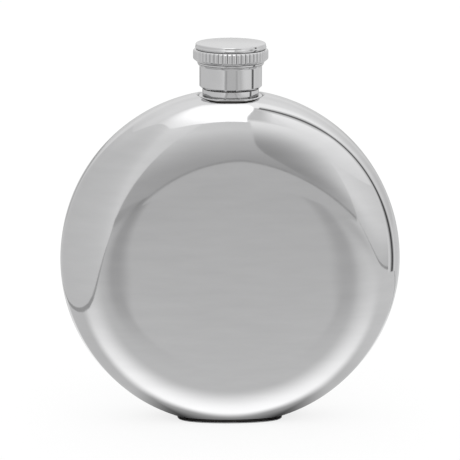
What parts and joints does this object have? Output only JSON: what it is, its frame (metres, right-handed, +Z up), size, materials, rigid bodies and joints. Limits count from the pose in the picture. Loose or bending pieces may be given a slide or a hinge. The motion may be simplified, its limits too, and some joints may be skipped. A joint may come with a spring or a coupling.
{
  "type": "round hip flask",
  "caption": "Round pocket flask of polished steel: a pillow-shaped two-shell body on an oval base plate, a threaded neck and a fluted screw cap that turns and rises.",
  "frame": {"origin": "under the middle of the base plate, on the surface that the flask stands on", "axes": "+Z up along the neck, the front face towards -Y, +X to the right seen from the front"},
  "size_m": [0.102, 0.03, 0.1147],
  "materials": {
    "polished_steel": "polished",
    "turned_steel": "polished",
    "insert_plastic": "satin",
    "liner_rubber": "matte"
  },
  "bodies": {
    "flask": {"front_shell": "polished_steel", "back_shell": "polished_steel", "base_plate": "polished_steel", "neck_collar": "polished_steel", "neck_spout": "turned_steel"},
    "seal": {"cap_liner": "liner_rubber"},
    "cap": {"cap_shell": "turned_steel", "cap_thread_insert": "insert_plastic"}
  },
  "joints": [
    {"name": "cap_rise", "type": "slide", "parent": "flask", "child": "seal", "axis": [0, 0, 1], "range_m": [0, 0.015]},
    {"name": "cap_twist", "type": "hinge", "parent": "seal", "child": "cap", "pos_m": [0, 0, 0.108], "axis": [0, 0, 1], "range_deg": [0, 1800]}
  ],
  "couplings": [
    {"joint": "cap_rise", "follows": "cap_twist", "m_per_rad": 0.00047746}
  ]
}
